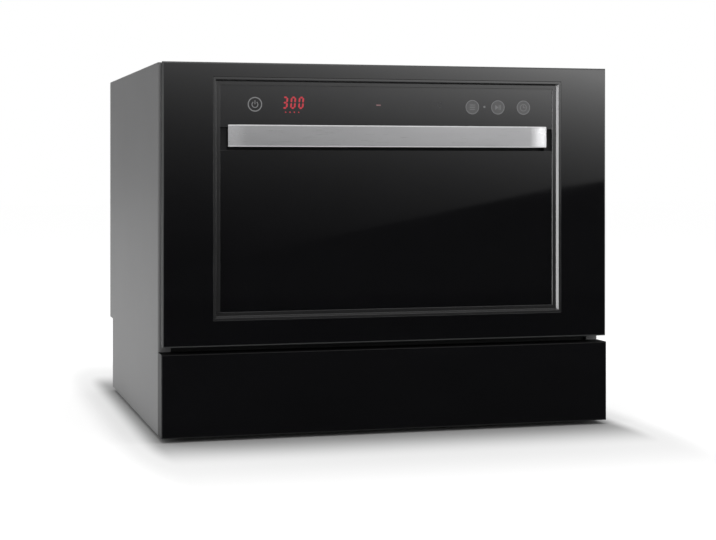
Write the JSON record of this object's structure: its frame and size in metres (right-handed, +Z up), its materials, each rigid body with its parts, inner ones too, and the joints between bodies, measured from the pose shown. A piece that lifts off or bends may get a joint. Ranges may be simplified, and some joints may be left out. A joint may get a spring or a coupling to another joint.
{
  "type": "countertop dishwasher",
  "caption": "Compact dishwasher for a worktop, with a drop-down black glass door, a recessed bar handle, touch controls, a steel tub, a wire basket on rollers and a spray arm.",
  "frame": {"origin": "centre of the footprint, on the table under the feet", "axes": "+Z up, -Y out of the door's face, +X to the right as seen from the front"},
  "size_m": [0.55, 0.5, 0.438],
  "materials": {
    "painted_silver": "satin silver-grey paint",
    "grey_plastic": "moulded, fine grain",
    "black_plastic": "moulded, satin",
    "rubber": "matt",
    "zinc_steel": "zinc-plated sheet",
    "stainless": "drawn stainless, satin",
    "felt": "dense felt",
    "light_plastic": "moulded polypropylene",
    "blue_plastic": "moulded",
    "orange_plastic": "moulded foam",
    "circuit_board": "lacquered board",
    "display": "dark red filter",
    "black_glass": "back-printed black, polished",
    "smoked_glass": "smoked, polished",
    "bright_trim": "polished",
    "handle_aluminium": "brushed along its length, anodised",
    "basket_wire": "nylon-coated steel wire",
    "brass": "stamped"
  },
  "bodies": {
    "cabinet": {"left_side_panel": "painted_silver", "right_side_panel": "painted_silver", "top_panel": "painted_silver", "rear_panel": "painted_silver", "lower_rear_panel": "painted_silver", "base_tray": "grey_plastic", "kick_plate": "black_plastic", "feet": "rubber", "front_frame": "zinc_steel", "tub": "stainless", "tub_gasket": "rubber", "sound_mat": "felt", "hinge_brackets": "zinc_steel", "latch_housing": "black_plastic", "spray_hub": "light_plastic", "filter_plate": "stainless", "sump": "black_plastic", "circulation_pump": "zinc_steel", "drain_pump": "black_plastic", "heater": "stainless", "inlet_valve": "light_plastic", "drain_outlet": "black_plastic", "cord_gland": "black_plastic", "salt_container": "light_plastic", "water_chamber": "light_plastic", "power_board": "circuit_board", "hoses": "rubber", "float_switch": "black_plastic", "panel_screws": "zinc_steel"},
    "door": {"door_glass": "black_glass", "door_trim": "bright_trim", "lower_glass": "black_glass", "control_glass": "smoked_glass", "door_carrier": "black_plastic", "handle_bar": "handle_aluminium", "display_module": "display", "touch_board": "circuit_board", "door_pad": "felt", "door_liner": "stainless", "detergent_dispenser": "light_plastic", "hinge_arms": "zinc_steel", "hinge_springs": "zinc_steel", "door_strike": "stainless"},
    "basket": {"basket": "basket_wire", "plate_tines": "basket_wire"},
    "detergent_lid": {"detergent_lid": "light_plastic"},
    "rinse_cap": {"rinse_cap": "blue_plastic"},
    "lid_latch": {"lid_latch": "grey_plastic"},
    "front_rollers": {"front_rollers": "light_plastic"},
    "rear_rollers": {"rear_rollers": "light_plastic"},
    "left_cup_shelf": {"left_cup_shelf": "basket_wire"},
    "right_cup_shelf": {"right_cup_shelf": "basket_wire"},
    "cutlery_basket": {"cutlery_basket": "grey_plastic"},
    "spray_arm": {"spray_arm": "light_plastic"},
    "coarse_filter": {"coarse_filter": "grey_plastic"},
    "pump_impeller": {"pump_impeller": "light_plastic"},
    "drain_impeller": {"drain_impeller": "light_plastic"},
    "salt_cap": {"salt_cap": "light_plastic"},
    "float": {"float": "orange_plastic"},
    "latch_catch": {"latch_catch": "brass"}
  },
  "joints": [
    {"name": "door_hinge", "type": "hinge", "parent": "cabinet", "child": "door", "pos_m": [0, -0.238, 0.121], "axis": [1, 0, 0], "range_deg": [0, 90]},
    {"name": "basket_slide", "type": "slide", "parent": "cabinet", "child": "basket", "axis": [0, -1, 0], "range_m": [0, 0.19]},
    {"name": "front_roller_spin", "type": "hinge", "parent": "basket", "child": "front_rollers", "pos_m": [0, -0.0345, 0.1473], "axis": [1, 0, 0], "range_deg": [0, 850]},
    {"name": "rear_roller_spin", "type": "hinge", "parent": "basket", "child": "rear_rollers", "pos_m": [0, 0.147, 0.1473], "axis": [1, 0, 0], "range_deg": [0, 850]},
    {"name": "left_shelf_fold", "type": "hinge", "parent": "basket", "child": "left_cup_shelf", "pos_m": [-0.1965, 0.05, 0.226], "axis": [0, 1, 0], "range_deg": [0, 85]},
    {"name": "right_shelf_fold", "type": "hinge", "parent": "basket", "child": "right_cup_shelf", "pos_m": [0.1965, 0.05, 0.226], "axis": [0, -1, 0], "range_deg": [0, 85]},
    {"name": "cutlery_lift", "type": "slide", "parent": "basket", "child": "cutlery_basket", "axis": [0, 0, 1], "range_m": [0, 0.11]},
    {"name": "detergent_lid_swing", "type": "hinge", "parent": "door", "child": "detergent_lid", "pos_m": [-0.0785, -0.2135, 0.294], "axis": [0, 0, 1], "range_deg": [0, 100]},
    {"name": "rinse_cap_turn", "type": "hinge", "parent": "door", "child": "rinse_cap", "pos_m": [0.046, -0.213, 0.294], "axis": [0, 1, 0], "range_deg": [0, 90]},
    {"name": "lid_latch_slide", "type": "slide", "parent": "door", "child": "lid_latch", "axis": [1, 0, 0], "range_m": [0, 0.003], "stiffness_N_per_m": 150},
    {"name": "spray_arm_spin", "type": "hinge", "parent": "cabinet", "child": "spray_arm", "pos_m": [0, -0.005, 0.1385], "axis": [0, 0, 1], "continuous": true},
    {"name": "filter_turn", "type": "hinge", "parent": "cabinet", "child": "coarse_filter", "pos_m": [0.08, -0.005, 0.12], "axis": [0, 0, 1], "range_deg": [0, 90]},
    {"name": "pump_spin", "type": "hinge", "parent": "cabinet", "child": "pump_impeller", "pos_m": [-0.022, -0.005, 0.064], "axis": [1, 0, 0], "continuous": true},
    {"name": "drain_spin", "type": "hinge", "parent": "cabinet", "child": "drain_impeller", "pos_m": [0.166, -0.005, 0.05], "axis": [1, 0, 0], "continuous": true},
    {"name": "salt_cap_turn", "type": "hinge", "parent": "cabinet", "child": "salt_cap", "pos_m": [-0.15, 0.105, 0.13], "axis": [0, 0, 1], "range_deg": [0, 360]},
    {"name": "float_rise", "type": "slide", "parent": "cabinet", "child": "float", "axis": [0, 0, 1], "range_m": [0, 0.008]},
    {"name": "catch_rock", "type": "hinge", "parent": "cabinet", "child": "latch_catch", "pos_m": [0, -0.185, 0.427], "axis": [1, 0, 0], "range_deg": [0, 8], "stiffness_Nm_per_rad": 0.05, "springref_deg": -5.73}
  ],
  "couplings": [
    {"joint": "basket_slide", "follows": "door_hinge", "m_per_rad": 0.12},
    {"joint": "front_roller_spin", "follows": "door_hinge", "ratio": 9.2308},
    {"joint": "rear_roller_spin", "follows": "door_hinge", "ratio": 9.2308}
  ]
}
